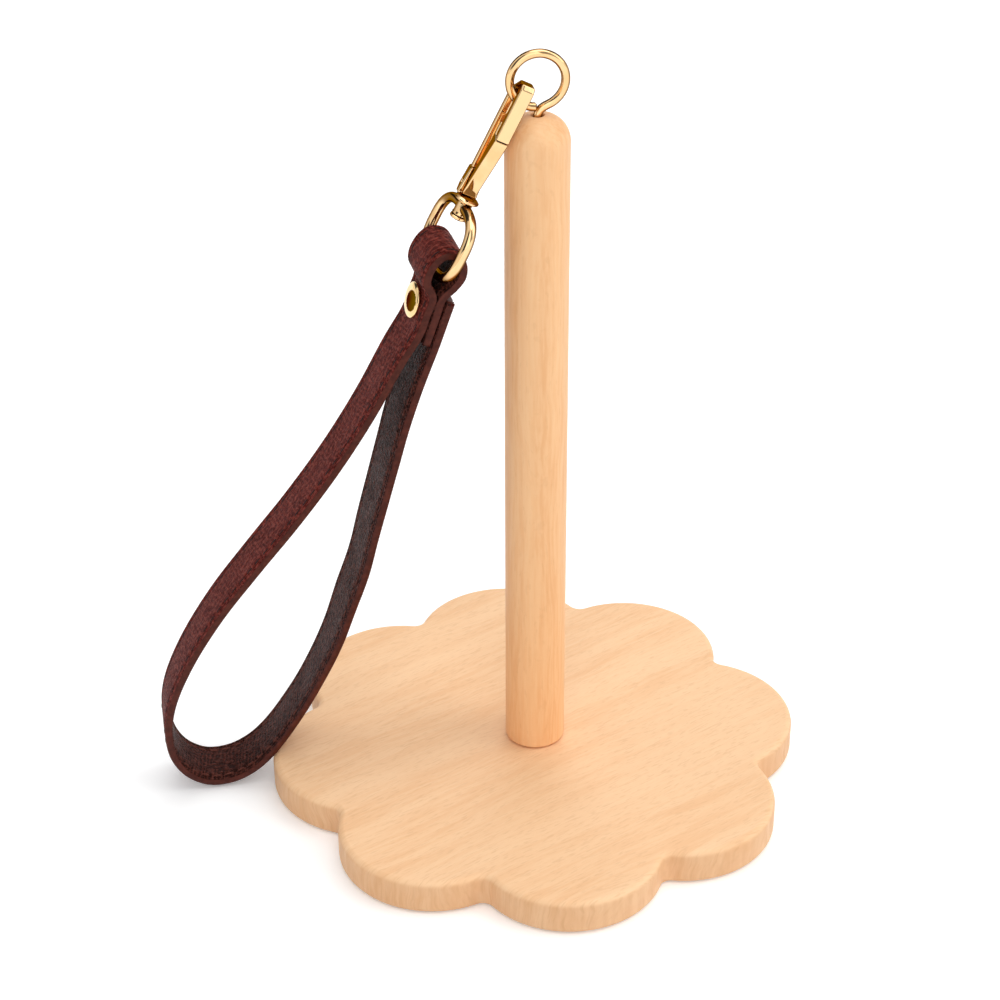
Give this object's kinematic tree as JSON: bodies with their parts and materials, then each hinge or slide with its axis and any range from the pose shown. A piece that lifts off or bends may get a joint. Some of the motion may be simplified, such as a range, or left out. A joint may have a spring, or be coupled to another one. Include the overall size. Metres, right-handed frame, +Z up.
{
  "type": "yarn ball holder",
  "caption": "Desk and travel holder for a ball of yarn: scalloped wooden board with an upright post, screw eye on top, and a leather wrist strap on a swivel snap hook.",
  "frame": {"origin": "centre of the board's underside, on the post's axis", "axes": "+Z up along the post, +Y away from the picture's camera, +X to the right in the picture"},
  "size_m": [0.1538, 0.1268, 0.1856],
  "materials": {
    "wood": "satin, pale fine-grained wood",
    "gold": "polished gold plating",
    "brass": "plain turned brass",
    "steel": "plain zinc-plated steel",
    "leather": "dark reddish brown, pebbled, satin",
    "lining": "dark reddish brown, pebbled, satin"
  },
  "bodies": {
    "stand": {"base_board": "wood", "post": "wood", "hanger_bolt": "steel", "threaded_insert": "brass", "screw_eye": "gold"},
    "hook": {"hook_body": "gold", "gate_pin": "steel", "gate_spring": "steel", "swivel_rivet": "gold"},
    "gate": {"gate": "gold"},
    "ring": {"swivel_ring": "gold"},
    "strap": {"strap_outer": "leather", "strap_lining": "lining", "rivet_cap": "gold", "rivet_back": "gold"}
  },
  "joints": [
    {"name": "clasp_on_eye", "type": "hinge", "parent": "stand", "child": "hook", "pos_m": [0, 0, 0.1787], "axis": [-0.184, 0.9829, 0], "range_deg": [0, 180]},
    {"name": "gate_hinge", "type": "hinge", "parent": "hook", "child": "gate", "pos_m": [-0.01407, -0.00229, 0.15615], "axis": [-0.8776, -0.1483, 0.4559], "range_deg": [0, 10], "stiffness_Nm_per_rad": 0.01, "springref_deg": -20.05, "deforming": ["gate_spring"]},
    {"name": "swivel", "type": "hinge", "parent": "hook", "child": "ring", "pos_m": [-0.01513, -0.00493, 0.15324], "axis": [0.4431, 0.1121, 0.8894], "range_deg": [0, 150]},
    {"name": "strap_on_ring", "type": "hinge", "parent": "ring", "child": "strap", "pos_m": [-0.02238, -0.00676, 0.13869], "axis": [-0.3312, 0.9424, 0.0462], "range_deg": [0, 80]}
  ]
}
